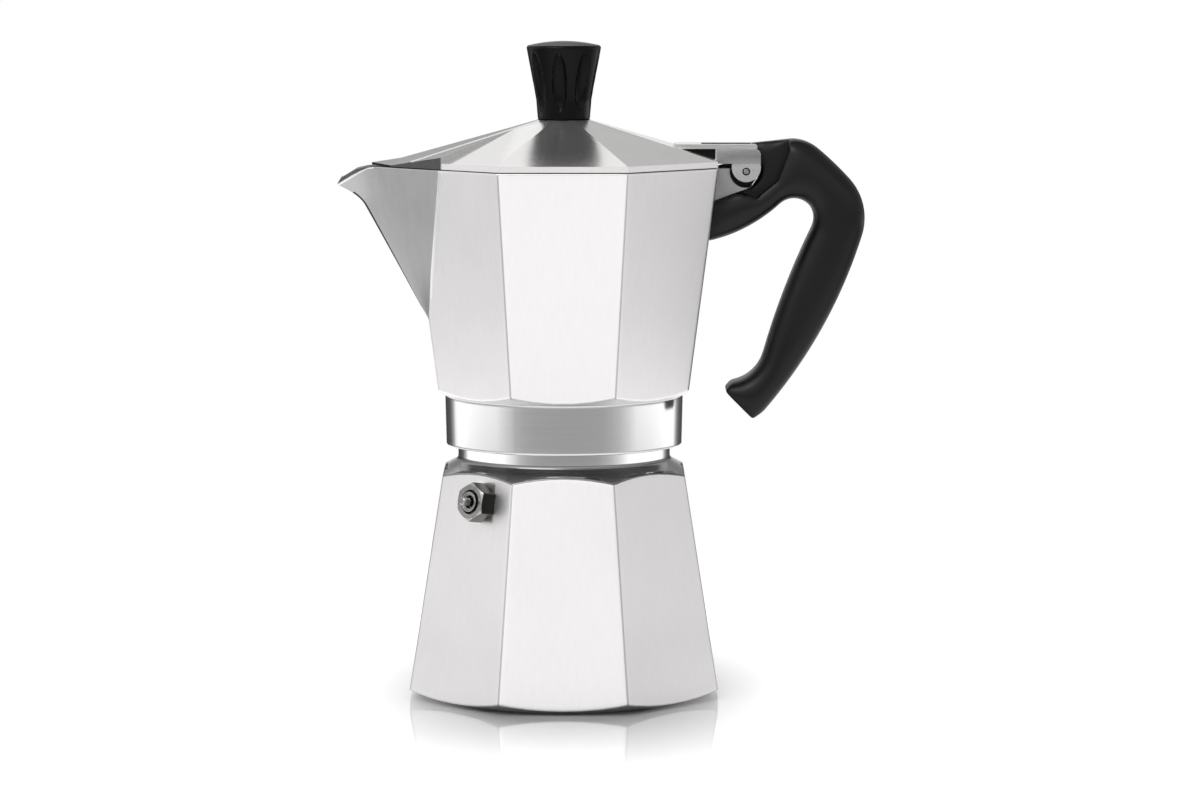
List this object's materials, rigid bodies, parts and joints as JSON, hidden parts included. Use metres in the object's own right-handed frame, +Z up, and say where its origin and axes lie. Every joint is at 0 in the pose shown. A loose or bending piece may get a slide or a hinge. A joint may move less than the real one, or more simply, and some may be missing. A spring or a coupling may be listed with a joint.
{
  "type": "stovetop moka pot",
  "caption": "Eight-sided aluminium stovetop coffee maker: boiler with safety valve, screwed-on collector with spout, hinged lid, black knob and handle.",
  "frame": {"origin": "middle of the flat under the boiler, which stands on the hob", "axes": "+Z up along the pot's axis, -X towards the spout, +X towards the handle, -Y the front facet seen in the picture"},
  "size_m": [0.1754, 0.1026, 0.217],
  "materials": {
    "cast_aluminium": "die-cast and satin polished",
    "polished_aluminium": "polished, fine brushing",
    "spun_aluminium": "drawn sheet, matt",
    "plated_brass": "nickel plated, turned",
    "steel": "bright",
    "silicone_white": "matt",
    "silicone_red": "matt",
    "black_plastic": "moulded, satin"
  },
  "bodies": {
    "base": {"boiler": "cast_aluminium", "valve_body": "plated_brass", "valve_cap": "plated_brass", "valve_spring": "steel", "funnel_basket": "spun_aluminium", "funnel_stem": "spun_aluminium", "funnel_sieve": "spun_aluminium"},
    "relief": {"valve_plunger": "plated_brass", "valve_seal": "silicone_red"},
    "seal": {"gasket": "silicone_white", "filter_plate": "spun_aluminium"},
    "upper": {"collector": "cast_aluminium", "coffee_column": "cast_aluminium", "handle": "black_plastic", "handle_screw": "steel", "hinge_pin": "steel"},
    "cover": {"lid": "polished_aluminium", "knob": "black_plastic", "knob_washer": "steel", "knob_screw": "steel"}
  },
  "joints": [
    {"name": "screw_rise", "type": "slide", "parent": "base", "child": "seal", "axis": [0, 0, 1], "range_m": [0, 0.0105]},
    {"name": "screw_turn", "type": "hinge", "parent": "seal", "child": "upper", "pos_m": [0, 0, 0.0916], "axis": [0, 0, 1], "range_deg": [0, 1080]},
    {"name": "lid_hinge", "type": "hinge", "parent": "upper", "child": "cover", "pos_m": [0.0602, 0, 0.1742], "axis": [0, 1, 0], "range_deg": [0, 95]},
    {"name": "valve_lift", "type": "slide", "parent": "base", "child": "relief", "axis": [-0.6986, -0.6986, 0.1546], "range_m": [0, 0.0015], "stiffness_N_per_m": 1500, "springref_m": -0.004, "deforming": ["valve_spring"]}
  ],
  "couplings": [
    {"joint": "screw_rise", "follows": "screw_turn", "m_per_rad": 0.00055704}
  ]
}
